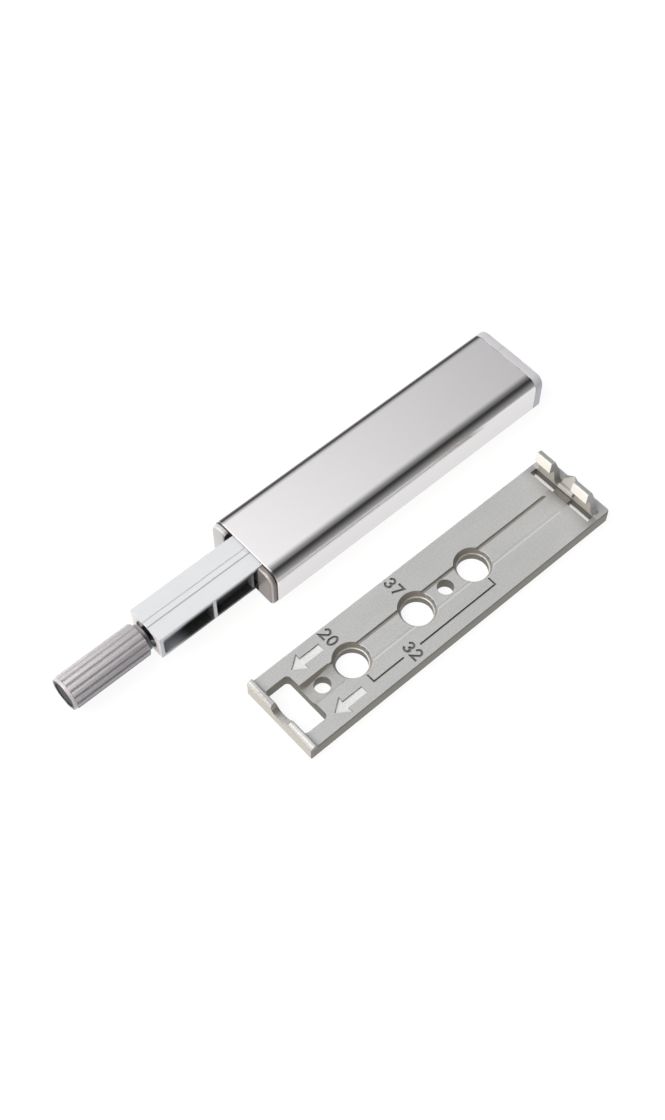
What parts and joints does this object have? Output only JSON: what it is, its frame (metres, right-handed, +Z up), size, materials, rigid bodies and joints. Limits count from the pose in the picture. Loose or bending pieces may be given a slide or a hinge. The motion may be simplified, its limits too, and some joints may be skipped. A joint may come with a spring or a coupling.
{
  "type": "push to open catch",
  "caption": "Slim push-latch ejector: steel sleeve, square sprung plunger, turnable magnetic tip, and the screw-on plate it clips to.",
  "frame": {"origin": "on the floor, under the middle of the sleeve's front edge", "axes": "+X is the way the plunger pushes out, +Z is up from the mounting face, and the adapter plate lies on the +Y side"},
  "size_m": [0.1174, 0.0481, 0.0115],
  "materials": {
    "sleeve_steel": "satin stainless sheet",
    "mauve_plastic": "matte moulded",
    "cap_plastic": "matte moulded",
    "slider_plastic": "smooth acetal",
    "spring_steel": "drawn wire",
    "pole_cup": "dark plated",
    "magnet": "dark slate, smooth",
    "buffer_rubber": "soft black",
    "zinc": "zinc die casting, fine grain"
  },
  "bodies": {
    "housing": {"sleeve": "sleeve_steel", "chassis": "mauve_plastic", "rear_cap": "cap_plastic", "main_spring": "spring_steel", "spring_rod": "spring_steel", "rear_buffer": "buffer_rubber", "adapter_plate": "zinc"},
    "plunger": {"slider": "slider_plastic"},
    "tip_core": {"magnet_cup": "pole_cup", "magnet": "magnet"},
    "tip": {"knob": "mauve_plastic", "spindle": "spring_steel"},
    "latch": {"latch_wire": "spring_steel"}
  },
  "joints": [
    {"name": "plunger_travel", "type": "slide", "parent": "housing", "child": "plunger", "axis": [1, 0, 0], "range_m": [-0.04, 0], "stiffness_N_per_m": 120, "springref_m": 0.02, "deforming": ["main_spring"]},
    {"name": "tip_advance", "type": "slide", "parent": "plunger", "child": "tip_core", "axis": [1, 0, 0], "range_m": [-0.001, 0.003]},
    {"name": "tip_turn", "type": "hinge", "parent": "tip_core", "child": "tip", "pos_m": [0.0445, 0, 0.00455], "axis": [1, 0, 0], "range_deg": [-360, 1080]},
    {"name": "latch_swing", "type": "hinge", "parent": "housing", "child": "latch", "pos_m": [-0.0617, 0.0062, 0.00315], "axis": [0, -1, 0], "range_deg": [0, 16]}
  ],
  "couplings": [
    {"joint": "tip_turn", "follows": "tip_advance", "rad_per_m": 6283.2}
  ]
}
